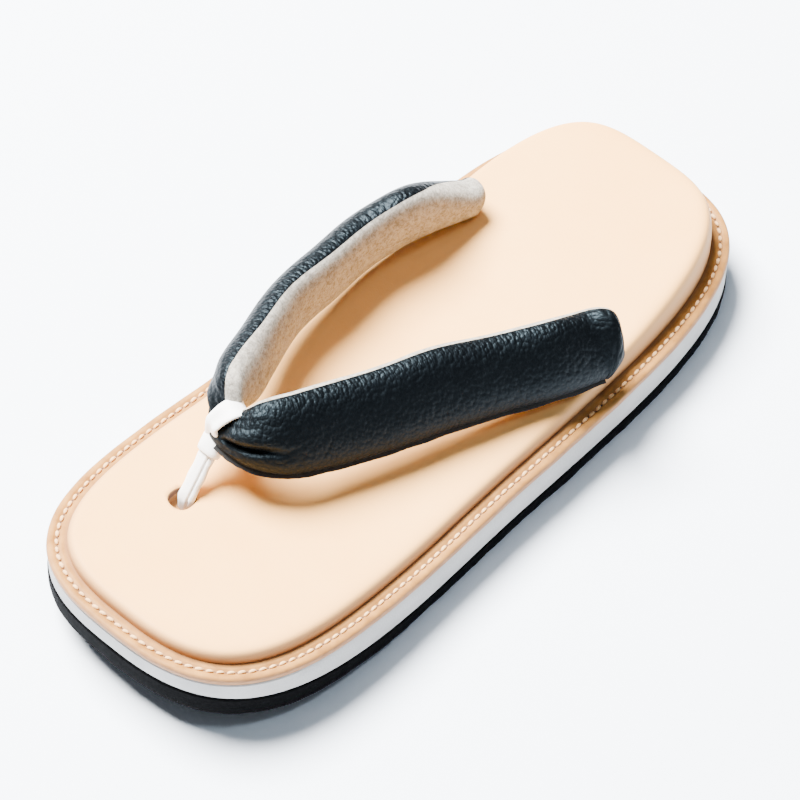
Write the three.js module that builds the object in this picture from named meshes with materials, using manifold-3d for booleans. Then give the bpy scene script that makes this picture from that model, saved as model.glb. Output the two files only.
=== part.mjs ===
// A leather zori: flat sandal with a padded two-arm strap and a toe thong. Left foot.
// Millimetres, +Z up. Origin on the floor under the middle of the sole.
// The toe points to -Y, the heel to +Y; +X is the outer side of the foot, -X the inner side.
import * as THREE from 'three';
import { mergeVertices } from 'three/addons/utils/BufferGeometryUtils.js';
import Module from 'manifold-3d';

// Sole outline
const SOLE_LENGTH = 265;
const WAIST_WIDTH = 100.5;
const TOE_FLARE = 0.42;      // widening of the outline towards the toe, as a share of its width
const HEEL_FLARE = 0.12;     // the same towards the heel
const TOE_SQUARENESS = 2.67; // exponent of the round end: 2 is an ellipse, more is squarer
const HEEL_SQUARENESS = 3.2;
const INWARD_SWAY = 2.6;     // how far both ends lie towards the inner side

// Layers of the sole, from the floor up
const OUTSOLE_TOE = 8;
const OUTSOLE_HEEL = 4.8;
const OUTSOLE_CHAMFER = 1;
const MIDSOLE_TOE = 6.8;
const MIDSOLE_HEEL = 10.8;
const WELT_THICKNESS = 3;
const WELT_WIDTH = 6.5;
const FOOTBED_RISE_TOE = 4.6;   // footbed above the welt
const FOOTBED_RISE_HEEL = 14;
const SHOULDER = 3;             // width of the rounded shoulder of the footbed
const TOE_SPRING = 10;          // lift of the toe tip off the floor
const SPRING_START = 104;       // distance of the start of the lift from the toe tip
const LAYER_GAP = 0.3;
const OUTSOLE_TAPER = 0.38;    // shares of the length, from the toe, over which the layers change
const MIDSOLE_TAPER = 0.3;
const FOOTBED_TAPER = 0.5;      // the footbed rises behind this share of the length

// Strap
const STRAP_WIDTH = 24;
const STRAP_PAD_OUT = 6.8;      // swell of the leather side from the seam plane
const STRAP_PAD_IN = 4.8;       // swell of the lining side
const LEATHER = 1.6;
const LINING = 1.3;
const SEAM_GAP = 0.35;
const STRAP_LIFT = 14.5;        // lower seam above the footbed at the toe bend
const PINCH_GROOVE = 1.6;       // depth of the fold on either side of the toe bend
const FOLD_ANGLE = 112;         // place of that fold round the section, from the upper seam
const FOLD_SPREAD = 0.3;
const FOLD_RISE = 2;             // rows from the toe bend over which the fold deepens and then fades
const FOLD_FADE = 2.5;
const STRAP_SQUARENESS = 2.3;   // exponent of the strap's section
const TAIL_WIDTH = 10;
const TAIL_PAD = 2.6;
const TAIL_DEPTH = 6.4;
const TAIL_CLEARANCE = 0.5;
const TAIL_SHIFT = 3;           // both tails lie this much towards the inner side of their arm's end

// Toe thong
const THONG_BACK = 0.193;       // hole of the thong, share of the sole length behind the toe tip
const THONG_SIDE = -0.394;      // share of half the waist width
const THONG_WIDTH = 5.6;
const THONG_THICKNESS = 3.6;
const THONG_HOLE = 8.2;
const THONG_DEPTH = 5;
const STEM_SHIFT = 0.75;        // the stem stands off the middle of its hole, outwards and rearwards
const NECK_SHIFT = 1.4;         // the same for the place where the loop meets the stem
const NECK_DROP = 1.8;          // that place under the strap's lower seam
const LOOP_THICKNESS = 1.8;
const LOOP_WIDTH_TOP = 7.8;
const LOOP_WIDTH_SIDE = 6.8;
const LOOP_WIDTH_LOW = 6.4;
const LOOP_WRAP = 100;          // degrees round the strap's section before the loop runs straight down
const LOOP_BEVEL = 0.8;         // width of the loop's outer face, share of its inner face
const COLLAR_HEIGHT = 4.6;
const COLLAR_WALL = 1.2;
const FIT = 0.3;

// Mesh steps
const OUTLINE_STEPS = 34;       // along one side of the sole
const STEPS_BETWEEN_ROWS = 3;
const ROUND_STEPS = 20;
const ARC_STEPS = 14;
const NECK_STEPS = 3;
const BEND_STEPS = 7;
const COVER_STEPS = 11;
const LINING_STEPS = 8;
const ROUND_POWER = 0.8;        // flattens the sides of the thong's and the holes' ovals a little
const WELD_DISTANCE = 1e-4;

// Centre line of the strap from the outer rear end over the toe bend to the inner rear end.
// side: share of half the waist width; back: share of the sole length behind the toe tip;
// lift: lower seam above the footbed, share of STRAP_LIFT; lean: tilt of the outer face to the sky;
// width, pad and inside: shares of the strap's width, of its leather swell and of its lining swell;
// seam: degrees of the upper seam towards the leather side.
const STRAP_ROWS = [
  { side: 0.747, back: 0.673, lift: 0.06, lean: 42, width: 0.98, pad: 1, inside: 1, seam: 12 },
  { side: 0.665, back: 0.629, lift: 0.165, lean: 38, width: 1.04, pad: 0.98, inside: 0.98, seam: 14 },
  { side: 0.487, back: 0.561, lift: 0.315, lean: 42, width: 1.05, pad: 1, inside: 1, seam: 16 },
  { side: 0.332, back: 0.494, lift: 0.45, lean: 42, width: 1.12, pad: 1, inside: 1, seam: 16 },
  { side: 0.192, back: 0.423, lift: 0.545, lean: 42.5, width: 1.1, pad: 1, inside: 1, seam: 16 },
  { side: 0.042, back: 0.356, lift: 0.635, lean: 42, width: 1.1, pad: 1, inside: 1, seam: 17 },
  { side: -0.09, back: 0.302, lift: 0.78, lean: 43, width: 1.035, pad: 0.96, inside: 0.96, seam: 18 },
  { side: -0.213, back: 0.279, lift: 0.92, lean: 47, width: 0.86, pad: 0.86, inside: 0.87, seam: 22 },
  { side: -0.336, back: 0.27, lift: 0.99, lean: 50, width: 0.61, pad: 0.62, inside: 0.63, seam: 27 },
  { side: -0.411, back: 0.271, lift: 1, lean: 50, width: 0.525, pad: 0.54, inside: 0.555, seam: 38 },
  { side: -0.466, back: 0.281, lift: 0.98, lean: 36, width: 0.565, pad: 0.62, inside: 0.65, seam: 50 },
  { side: -0.512, back: 0.297, lift: 0.875, lean: 10, width: 0.76, pad: 0.94, inside: 0.95, seam: 23 },
  { side: -0.574, back: 0.33, lift: 0.705, lean: -11, width: 0.925, pad: 1.15, inside: 1.19, seam: -3 },
  { side: -0.673, back: 0.386, lift: 0.57, lean: -7.5, width: 0.95, pad: 1.14, inside: 1.1, seam: -9 },
  { side: -0.775, back: 0.452, lift: 0.455, lean: -3, width: 0.98, pad: 1.17, inside: 1.08, seam: -9 },
  { side: -0.805, back: 0.523, lift: 0.34, lean: 2, width: 1.01, pad: 1.2, inside: 1.18, seam: -10 },
  { side: -0.815, back: 0.594, lift: 0.27, lean: 4, width: 1.015, pad: 1.17, inside: 1.18, seam: -11 },
  { side: -0.738, back: 0.665, lift: 0.21, lean: 7, width: 1.04, pad: 1.13, inside: 1.2, seam: -4 },
  { side: -0.635, back: 0.745, lift: 0.03, lean: 4, width: 0.52, pad: 0.97, inside: 1.15, seam: 40 },
];
const BEND_ROW = 9;             // the row of the toe bend

// The rear ends of the strap turn down about their lower edge.
// turn: degrees from upright; width and pad: shares of what the arm has where the turn starts.
const END_TURN = [
  { turn: 12, width: 1.00, pad: 0.97 },
  { turn: 22, width: 0.95, pad: 0.93 },
  { turn: 30, width: 0.75, pad: 0.88 },
  { turn: 42, width: 0.55, pad: 0.80 },
  { turn: 62, width: 0.48, pad: 0.71 },
];
const END_RADIUS = 1;
const CORNER_HOLD = 3;          // exponent that keeps the turn near that edge before it goes under

const HALF_LENGTH = SOLE_LENGTH / 2;
const HALF_WAIST = WAIST_WIDTH / 2;
const UP = new THREE.Vector3(0, 0, 1);

const radians = (degrees) => degrees * Math.PI / 180;
const vector = (x, y, z) => new THREE.Vector3(x, y, z);
const mix = (a, b, t) => a + (b - a) * t;
const signedPower = (value, power) => Math.sign(value) * Math.abs(value) ** power;

function ease(value) {
  const t = Math.min(Math.max(value, 0), 1);
  return t * t * (3 - 2 * t);
}

// Heights over the floor at a place y along the sole

function spring(y) {
  const intoToe = Math.max(SPRING_START - HALF_LENGTH - y, 0);
  return TOE_SPRING * (intoToe / SPRING_START) ** 2;
}

const fromToe = (y) => (y + HALF_LENGTH) / SOLE_LENGTH;
const outsoleTop = (y) => spring(y) + mix(OUTSOLE_TOE, OUTSOLE_HEEL, ease(fromToe(y) / OUTSOLE_TAPER));
const midsoleBottom = (y) => outsoleTop(y) + LAYER_GAP;
const midsoleTop = (y) => midsoleBottom(y) + mix(MIDSOLE_TOE, MIDSOLE_HEEL, ease(fromToe(y) / MIDSOLE_TAPER));
const weltBottom = (y) => midsoleTop(y) + LAYER_GAP;
const weltTop = (y) => weltBottom(y) + WELT_THICKNESS;
const heelShare = (y) => ease((fromToe(y) - FOOTBED_TAPER) / (1 - FOOTBED_TAPER));
const footbedRise = (y) => mix(FOOTBED_RISE_TOE, FOOTBED_RISE_HEEL, heelShare(y));
const footbedTop = (y) => weltTop(y) + footbedRise(y);

// Outline of the sole, from the toe tip along the outer side to the heel and back along the inner side.

function outlinePoint(angle) {
  const along = -Math.cos(angle);
  const across = Math.sin(angle);
  const squareness = along < 0 ? TOE_SQUARENESS : HEEL_SQUARENESS;
  const flare = along < 0 ? TOE_FLARE : HEEL_FLARE;
  const place = signedPower(along, 2 / squareness);
  const width = HALF_WAIST * (1 + flare * place * place);
  const x = width * signedPower(across, 2 / squareness) - INWARD_SWAY * place * place;
  return new THREE.Vector2(x, place * HALF_LENGTH);
}

function makeOutline() {
  const points = [];
  for (let i = 0; i < 2 * OUTLINE_STEPS; i += 1) {
    points.push(outlinePoint(Math.PI * i / OUTLINE_STEPS));
  }
  const box = new THREE.Box2().setFromPoints(points);
  const middle = (box.min.x + box.max.x) / 2;
  points.forEach((point) => { point.x -= middle; });
  return points;
}

const OUTLINE = makeOutline();

function insetOutline(distance) {
  const count = OUTLINE.length;
  return OUTLINE.map((point, i) => {
    const before = OUTLINE[(i + count - 1) % count];
    const after = OUTLINE[(i + 1) % count];
    const along = after.clone().sub(before).normalize();
    return new THREE.Vector2(point.x - along.y * distance, point.y + along.x * distance);
  });
}

const ringAt = (inset, height) => insetOutline(inset).map((p) => vector(p.x, p.y, height(p.y)));

// Closed solids from rings of points that all have the same count

function meshData() {
  return { positions: [], indices: [] };
}

function addRing(data, ring) {
  const first = data.positions.length / 3;
  ring.forEach((p) => data.positions.push(p.x, p.y, p.z));
  return first;
}

function addWall(data, from, to, count) {
  for (let i = 0; i < count; i += 1) {
    const next = (i + 1) % count;
    data.indices.push(from + i, from + next, to + next);
    data.indices.push(from + i, to + next, to + i);
  }
}

// Closes a ring with rungs from each point to the one that faces it on the other side.
function addRungs(data, first, count, flip) {
  const half = count / 2;
  const triangle = (a, b, c) => {
    if (flip) data.indices.push(first + a, first + c, first + b);
    else data.indices.push(first + a, first + b, first + c);
  };
  for (let i = 0; i < half; i += 1) {
    const far = (count - i) % count;
    const nextFar = count - i - 1;
    if (i > 0) triangle(i, i + 1, far);
    if (i < half - 1) triangle(i + 1, nextFar, far);
  }
}

function toGeometry(data) {
  const geometry = new THREE.BufferGeometry();
  geometry.setAttribute('position', new THREE.Float32BufferAttribute(data.positions, 3));
  geometry.setIndex(data.indices);
  return geometry;
}

function slab(rings) {
  const data = meshData();
  const count = rings[0].length;
  const starts = rings.map((ring) => addRing(data, ring));
  for (let i = 0; i + 1 < starts.length; i += 1) addWall(data, starts[i], starts[i + 1], count);
  addRungs(data, starts[0], count, true);
  addRungs(data, starts[starts.length - 1], count, false);
  return toGeometry(data);
}

function hoop(rings) {
  const data = meshData();
  const count = rings[0].length;
  const starts = rings.map((ring) => addRing(data, ring));
  starts.forEach((start, i) => addWall(data, start, starts[(i + 1) % starts.length], count));
  return toGeometry(data);
}

// A tube with a wall: each section is one closed ring, its outer points first and then,
// in the opposite sense, its inner points. The ends are closed between the two.
function wallLoft(sections) {
  const data = meshData();
  const count = sections[0].length;
  const starts = sections.map((section) => addRing(data, section));
  for (let i = 0; i + 1 < starts.length; i += 1) addWall(data, starts[i], starts[i + 1], count);
  const last = starts[starts.length - 1];
  for (let i = 0; i + 1 < count / 2; i += 1) {
    const facing = count - 1 - i;
    data.indices.push(i, facing, i + 1, i + 1, facing, facing - 1);
    data.indices.push(last + i, last + i + 1, last + facing);
    data.indices.push(last + i + 1, last + facing - 1, last + facing);
  }
  return toGeometry(data);
}

// Joining and cutting

const wasm = await Module();
wasm.setup();

function solid(geometry) {
  const bare = geometry.clone();
  bare.deleteAttribute('normal');
  bare.deleteAttribute('uv');
  const merged = mergeVertices(bare.index ? bare : bare.toNonIndexed(), WELD_DISTANCE);
  return new wasm.Manifold(new wasm.Mesh({
    numProp: 3,
    vertProperties: new Float32Array(merged.attributes.position.array),
    triVerts: new Uint32Array(merged.index.array),
  }));
}

function toThree(manifold) {
  const mesh = manifold.getMesh();
  const geometry = new THREE.BufferGeometry();
  geometry.setAttribute('position', new THREE.BufferAttribute(new Float32Array(mesh.vertProperties), 3));
  geometry.setIndex(new THREE.BufferAttribute(new Uint32Array(mesh.triVerts), 1));
  return geometry;
}

// Strap

const rowCount = STRAP_ROWS.length;

const strapPath = new THREE.CatmullRomCurve3(
  STRAP_ROWS.map((row) => vector(row.side * HALF_WAIST, row.back * SOLE_LENGTH - HALF_LENGTH, 0)),
);

function column(name) {
  const points = STRAP_ROWS.map((row) => vector(row[name], 0, 0));
  const curve = new THREE.CatmullRomCurve3(points, false, 'catmullrom', 0.5);
  return (t) => curve.getPoint(t).x;
}

const liftAt = column('lift');
const leanAt = column('lean');
const widthAt = column('width');
const padAt = column('pad');
const insideAt = column('inside');
const seamAt = column('seam');

function foldAt(t) {
  const rows = Math.abs(t * (rowCount - 1) - BEND_ROW);
  return PINCH_GROOVE * ease(rows / FOLD_RISE) * (1 - ease((rows - FOLD_RISE) / FOLD_FADE));
}

function strapSection(t) {
  const centre = strapPath.getPoint(t);
  const travel = strapPath.getTangent(t);
  const sideways = vector(-travel.y, travel.x, 0).normalize();
  const lean = radians(leanAt(t));
  const out = sideways.clone().multiplyScalar(Math.cos(lean)).addScaledVector(UP, Math.sin(lean));
  const up = sideways.clone().multiplyScalar(-Math.sin(lean)).addScaledVector(UP, Math.cos(lean));
  const width = STRAP_WIDTH * widthAt(t);
  centre.z = footbedTop(centre.y) + STRAP_LIFT * liftAt(t) + width / 2 * up.z;
  return {
    centre, up, out, width,
    padOut: STRAP_PAD_OUT * padAt(t),
    padIn: STRAP_PAD_IN * insideAt(t),
    fold: foldAt(t),
    seam: radians(seamAt(t)),
  };
}

function tailFoot(end) {
  return vector(end.centre.x - TAIL_SHIFT, end.centre.y, footbedTop(end.centre.y));
}

// Sections from the rear end of an arm, round its turn and down into the footbed.
function endSections(end, rearward) {
  const foot = tailFoot(end);
  const sideways = vector(rearward.y, -rearward.x, 0).multiplyScalar(Math.sign(end.centre.x));
  const corner = end.centre.clone().addScaledVector(end.up, -end.width / 2 - END_RADIUS);
  const cornerEnd = foot.clone().addScaledVector(rearward, -TAIL_WIDTH / 2 - END_RADIUS);
  cornerEnd.z += LAYER_GAP;
  const sections = END_TURN.map((row) => {
    const share = row.turn / 90;
    const angle = radians(row.turn);
    const out = end.out.clone().lerp(sideways, share).normalize();
    const rise = end.up.clone().lerp(UP, share).normalize();
    const up = rise.multiplyScalar(Math.cos(angle)).addScaledVector(rearward, Math.sin(angle)).normalize();
    const width = end.width * row.width;
    const pivot = corner.clone().lerp(cornerEnd, share ** CORNER_HOLD);
    return {
      up, out, width,
      centre: pivot.addScaledVector(up, width / 2 + END_RADIUS),
      padOut: mix(end.padOut * row.pad, TAIL_PAD, share * share),
      padIn: mix(end.padIn * row.pad, TAIL_PAD, share * share),
      fold: 0,
      seam: end.seam,
    };
  });
  [LAYER_GAP, -TAIL_DEPTH / 2, -TAIL_DEPTH].forEach((height) => sections.push({
    centre: foot.clone().addScaledVector(UP, height),
    up: rearward.clone(),
    out: sideways.clone(),
    width: TAIL_WIDTH,
    padOut: TAIL_PAD,
    padIn: TAIL_PAD,
    fold: 0,
    seam: end.seam,
  }));
  return sections;
}

function allStrapSections() {
  const steps = (rowCount - 1) * STEPS_BETWEEN_ROWS;
  const run = [];
  for (let i = 0; i <= steps; i += 1) run.push(strapSection(i / steps));
  const outerEnd = endSections(run[0], strapPath.getTangent(0).negate()).reverse();
  const innerEnd = endSections(run[steps], strapPath.getTangent(1));
  return [...outerEnd, ...run, ...innerEnd];
}

// A point of a strap section. The angle goes from its upper edge over the leather side to the
// lower seam and on over the lining side; wall is the depth under the surface.
function sectionPoint(section, angle, wall) {
  const outside = Math.sin(angle) >= 0;
  const pad = (outside ? section.padOut : section.padIn) - wall;
  const halfWidth = section.width / 2 - wall;
  const fromFold = (angle - radians(FOLD_ANGLE)) / FOLD_SPREAD;
  const groove = outside ? section.fold * Math.exp(-(fromFold ** 2)) : 0;
  const across = halfWidth * signedPower(Math.cos(angle), 2 / STRAP_SQUARENESS);
  const swell = pad * signedPower(Math.sin(angle), 2 / STRAP_SQUARENESS) - groove;
  return section.centre.clone().addScaledVector(section.up, across).addScaledVector(section.out, swell);
}

function shellSection(section, fromAngle, toAngle, steps, wall) {
  const outer = [];
  const inner = [];
  for (let i = 0; i <= steps; i += 1) {
    const angle = mix(toAngle, fromAngle, i / steps);
    outer.push(sectionPoint(section, angle, 0));
    inner.push(sectionPoint(section, angle, wall));
  }
  return [...outer, ...inner.reverse()];
}

function strapCover(sections) {
  return wallLoft(sections.map((section) => (
    shellSection(section, section.seam, Math.PI, COVER_STEPS, LEATHER)
  )));
}

function strapLining(sections) {
  return wallLoft(sections.map((section) => {
    const gap = SEAM_GAP / section.padIn;
    return shellSection(section, Math.PI + gap, 2 * Math.PI + section.seam - gap, LINING_STEPS, LINING);
  }));
}

// Toe thong: a stem out of the footbed, a collar round it and a loop over the toe bend

function ovalRing(centre, first, second, a, b) {
  const ring = [];
  for (let i = 0; i < ROUND_STEPS; i += 1) {
    const angle = 2 * Math.PI * i / ROUND_STEPS;
    const point = centre.clone().addScaledVector(first, a * signedPower(Math.cos(angle), ROUND_POWER));
    ring.push(point.addScaledVector(second, b * signedPower(Math.sin(angle), ROUND_POWER)));
  }
  return ring;
}

function thongPlaces(bend) {
  const y = THONG_BACK * SOLE_LENGTH - HALF_LENGTH;
  const mouth = vector(THONG_SIDE * HALF_WAIST, y, footbedTop(y));
  const foot = mouth.clone().add(vector(STEM_SHIFT, STEM_SHIFT, 0));
  const neck = bend.centre.clone().addScaledVector(bend.up, -bend.width / 2 - NECK_DROP);
  neck.add(vector(NECK_SHIFT, NECK_SHIFT, 0));
  const lean = neck.clone().sub(foot).normalize();
  return { mouth, foot, neck, lean };
}

const stemAcross = (direction) => vector(1, 0, 0).addScaledVector(direction, -direction.x).normalize();

function stemSection(centre, direction, grow) {
  const across = stemAcross(direction);
  const front = direction.clone().cross(across).normalize();
  return ovalRing(centre, across, front, THONG_WIDTH / 2 + grow, THONG_THICKNESS / 2 + grow);
}

// Middle line of the loop, up the lining side of the strap, over it and down its leather side.
// down: how far a point has come from the strap's side to the neck, 0 to 1.
function loopPath(bend) {
  const { neck } = thongPlaces(bend);
  const reach = (LOOP_THICKNESS - 2 * FIT) / 2;
  const half = bend.out.clone().multiplyScalar((THONG_THICKNESS - LOOP_THICKNESS) / 2);
  const arc = [];
  for (let i = 0; i <= ARC_STEPS; i += 1) {
    const angle = radians(mix(-LOOP_WRAP, LOOP_WRAP, i / ARC_STEPS));
    arc.push({ place: sectionPoint(bend, angle, -reach - FIT), down: 0, over: Math.max(Math.cos(angle), 0) });
  }
  const leg = (start, end) => {
    const points = [];
    for (let i = 1; i <= NECK_STEPS; i += 1) {
      const down = i / NECK_STEPS;
      points.push({ place: start.place.clone().lerp(end, down), down, over: 0 });
    }
    return points;
  };
  const back = leg(arc[0], neck.clone().sub(half)).reverse();
  return [...back, ...arc, ...leg(arc[ARC_STEPS], neck.clone().add(half))];
}

function loopSolid(bend) {
  const { lean } = thongPlaces(bend);
  const bendAcross = bend.up.clone().cross(bend.out);
  const path = loopPath(bend);
  return slab(path.map(({ place, down, over }, i) => {
    const before = path[Math.max(i - 1, 0)].place;
    const after = path[Math.min(i + 1, path.length - 1)].place;
    const ahead = after.clone().sub(before).normalize();
    const across = bendAcross.clone().lerp(stemAcross(lean), down);
    across.addScaledVector(ahead, -across.dot(ahead)).normalize();
    const radial = ahead.clone().cross(across);
    const side = mix(LOOP_WIDTH_SIDE, LOOP_WIDTH_LOW, down);
    const half = mix(side, LOOP_WIDTH_TOP, over) / 2;
    const inner = place.clone().addScaledVector(radial, -LOOP_THICKNESS / 2);
    const outer = place.clone().addScaledVector(radial, LOOP_THICKNESS / 2);
    return [
      inner.clone().addScaledVector(across, half),
      outer.clone().addScaledVector(across, half * LOOP_BEVEL),
      outer.clone().addScaledVector(across, -half * LOOP_BEVEL),
      inner.clone().addScaledVector(across, -half),
    ];
  }));
}

function thongStem(bend) {
  const { foot, neck, lean } = thongPlaces(bend);
  const clearOfMouth = THONG_THICKNESS / 2;
  const top = neck.clone().addScaledVector(lean, LOOP_THICKNESS / 2);
  return slab([
    stemSection(foot.clone().addScaledVector(UP, -THONG_DEPTH), UP, 0),
    stemSection(foot.clone().addScaledVector(UP, -FIT), UP, 0),
    stemSection(foot.clone().addScaledVector(lean, clearOfMouth), lean, 0),
    stemSection(top, lean, 0),
  ]);
}

// The room that the strap takes near the toe bend, with its clearance.
function strapRoom() {
  const rings = [];
  for (let i = -BEND_STEPS; i <= BEND_STEPS; i += 1) {
    const section = strapSection((BEND_ROW + i / STEPS_BETWEEN_ROWS) / (rowCount - 1));
    const ring = [];
    for (let k = 0; k < ROUND_STEPS * 2; k += 1) {
      ring.push(sectionPoint(section, Math.PI * k / ROUND_STEPS, -FIT).toArray());
    }
    rings.push(ring);
  }
  const pairs = rings.slice(1).map((ring, i) => wasm.Manifold.hull([...rings[i], ...ring]));
  return wasm.Manifold.union(pairs);
}

// Slivers that the cut leaves beside the loop are dropped.
function thong(bend) {
  const whole = solid(thongStem(bend)).add(solid(loopSolid(bend)));
  const pieces = whole.subtract(strapRoom()).decompose();
  return toThree(pieces.reduce((largest, piece) => (piece.volume() > largest.volume() ? piece : largest)));
}

function collar(bend) {
  const { neck, lean } = thongPlaces(bend);
  const top = neck.clone().addScaledVector(lean, -LOOP_THICKNESS / 2 - FIT);
  const bottom = top.clone().addScaledVector(lean, -COLLAR_HEIGHT);
  return hoop([
    stemSection(bottom, lean, FIT),
    stemSection(bottom, lean, FIT + COLLAR_WALL),
    stemSection(top, lean, FIT + COLLAR_WALL),
    stemSection(top, lean, FIT),
  ]);
}

// Sole layers

function outsole() {
  const bottom = (y) => spring(y);
  const edge = (y) => spring(y) + OUTSOLE_CHAMFER;
  return slab([ringAt(OUTSOLE_CHAMFER, bottom), ringAt(0, edge), ringAt(0, outsoleTop)]);
}

function midsole() {
  return slab([ringAt(0, midsoleBottom), ringAt(0, midsoleTop)]);
}

function welt() {
  return hoop([
    ringAt(WELT_WIDTH, weltTop),
    ringAt(WELT_WIDTH, weltBottom),
    ringAt(0, weltBottom),
    ringAt(0, weltTop),
  ]);
}

// Shoulder of the footbed. inset: share of SHOULDER; rise: share of the footbed's rise.
const SHOULDER_ROWS = [
  { inset: 0.03, rise: 0.45 },
  { inset: 0.16, rise: 0.72 },
  { inset: 0.42, rise: 0.90 },
  { inset: 0.72, rise: 0.975 },
  { inset: 1.25, rise: 1 },
];

function hole(centre, first, second, a, b, depth) {
  const ringUp = (height) => ovalRing(centre.clone().addScaledVector(UP, height), first, second, a, b);
  return solid(slab([ringUp(-depth), ringUp(FOOTBED_RISE_TOE)]));
}

function thongHole(bend) {
  const { mouth } = thongPlaces(bend);
  const radius = THONG_HOLE / 2;
  return hole(mouth, vector(1, 0, 0), vector(0, 1, 0), radius, radius, THONG_DEPTH + FIT);
}

function tailHole(tail) {
  const mouth = vector(tail.centre.x, tail.centre.y, footbedTop(tail.centre.y));
  const across = vector(tail.up.y, -tail.up.x, 0);
  const thick = TAIL_PAD + TAIL_CLEARANCE;
  const wide = TAIL_WIDTH / 2 + TAIL_CLEARANCE;
  return hole(mouth, across, tail.up, thick, wide, TAIL_DEPTH + FIT);
}

function footbed(sections, bend) {
  const edge = WELT_WIDTH + LAYER_GAP;
  const rings = [ringAt(edge, weltBottom), ringAt(edge, weltTop)];
  SHOULDER_ROWS.forEach(({ inset, rise }) => {
    rings.push(ringAt(edge + SHOULDER * inset, (y) => weltTop(y) + footbedRise(y) * rise));
  });
  const tails = [sections[0], sections[sections.length - 1]];
  const body = solid(slab(rings)).subtract(thongHole(bend));
  return toThree(tails.reduce((rest, tail) => rest.subtract(tailHole(tail)), body));
}

// Assembly

const sandal = new THREE.Group();

function addPiece(name, geometry, color, roughness) {
  geometry.computeVertexNormals();
  const material = new THREE.MeshStandardMaterial({ color, roughness, metalness: 0 });
  const mesh = new THREE.Mesh(geometry, material);
  mesh.name = name;
  sandal.add(mesh);
}

const strapSections = allStrapSections();
const bendSection = strapSection(BEND_ROW / (rowCount - 1));

addPiece('outsole', outsole(), 0x1b1c1e, 0.75);
addPiece('midsole', midsole(), 0xd9dbdc, 0.8);
addPiece('welt', welt(), 0xe0b088, 0.6);
addPiece('footbed', footbed(strapSections, bendSection), 0xf3d7bb, 0.55);
addPiece('strap_cover', strapCover(strapSections), 0x1d2126, 0.45);
addPiece('strap_lining', strapLining(strapSections), 0xb09a83, 0.95);
addPiece('toe_thong', thong(bendSection), 0xf4f3f1, 0.55);
addPiece('thong_collar', collar(bendSection), 0xf6f5f3, 0.55);

export default sandal;
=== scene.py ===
"""Looks of a leather zori, left foot: fine surfaces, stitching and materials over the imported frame.

Metres, +Z up, toe towards -Y, +X the outer side of the foot. Sizes below are in millimetres, as a
sandal maker writes them, and MM turns them into metres where a mesh is made.
"""
import math
from collections import namedtuple

import bpy
import numpy as np
from mathutils import Matrix, Vector


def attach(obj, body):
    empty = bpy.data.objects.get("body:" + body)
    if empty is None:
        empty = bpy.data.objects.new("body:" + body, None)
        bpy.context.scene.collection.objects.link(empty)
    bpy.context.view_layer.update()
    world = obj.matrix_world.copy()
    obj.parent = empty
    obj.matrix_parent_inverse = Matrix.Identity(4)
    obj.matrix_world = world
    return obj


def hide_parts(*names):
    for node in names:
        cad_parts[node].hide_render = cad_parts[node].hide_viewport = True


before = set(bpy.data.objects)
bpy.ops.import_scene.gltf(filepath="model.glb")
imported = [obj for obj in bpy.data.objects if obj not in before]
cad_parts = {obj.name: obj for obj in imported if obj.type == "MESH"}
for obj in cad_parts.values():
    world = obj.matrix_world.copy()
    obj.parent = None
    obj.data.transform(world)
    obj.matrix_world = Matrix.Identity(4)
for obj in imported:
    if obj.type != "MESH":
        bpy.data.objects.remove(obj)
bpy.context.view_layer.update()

MM = 0.001

# Sole outline
SOLE_LENGTH = 265.0
WAIST_WIDTH = 100.5
TOE_FLARE = 0.42
HEEL_FLARE = 0.12
TOE_SQUARENESS = 2.67
HEEL_SQUARENESS = 3.2
INWARD_SWAY = 2.6

# Layers
OUTSOLE_TOE = 8.0
OUTSOLE_HEEL = 4.8
MIDSOLE_TOE = 6.8
MIDSOLE_HEEL = 10.8
WELT_THICKNESS = 3.0
WELT_WIDTH = 6.5
FOOTBED_RISE_TOE = 4.6
FOOTBED_RISE_HEEL = 14.0
SHOULDER = 3.0
TOE_SPRING = 10.0
SPRING_START = 104.0
LAYER_GAP = 0.3
OUTSOLE_TAPER = 0.38
MIDSOLE_TAPER = 0.3
FOOTBED_TAPER = 0.5

# Strap
STRAP_WIDTH = 24.0
STRAP_PAD_OUT = 6.8
STRAP_PAD_IN = 4.8
LEATHER = 1.6
LINING = 1.3
STRAP_LIFT = 14.5
STRAP_SQUARENESS = 2.3
TAIL_WIDTH = 10.0
TAIL_PAD = 2.6
TAIL_DEPTH = 6.4
TAIL_CLEARANCE = 0.5
TAIL_SHIFT = 3.0
END_RADIUS = 1.0

# Thong
THONG_BACK = 0.193
THONG_SIDE = -0.394
THONG_WIDTH = 5.6
THONG_THICKNESS = 3.6
THONG_HOLE = 8.2
THONG_DEPTH = 5.0
LOOP_THICKNESS = 1.8
LOOP_WIDTH_TOP = 7.8
LOOP_WIDTH_SIDE = 6.8
LOOP_WIDTH_LOW = 6.4
LOOP_WRAP = 100.0
LOOP_SADDLE = 0.7
NECK_DROP = 1.8
STEM_SHIFT = 0.75
NECK_SHIFT = 1.4
COLLAR_HEIGHT = 4.6
COLLAR_WALL = 1.2
COLLAR_REACH = 1.9       # how far its top stands over the neck, round the loop's lower ends
FIT = 0.3

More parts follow.
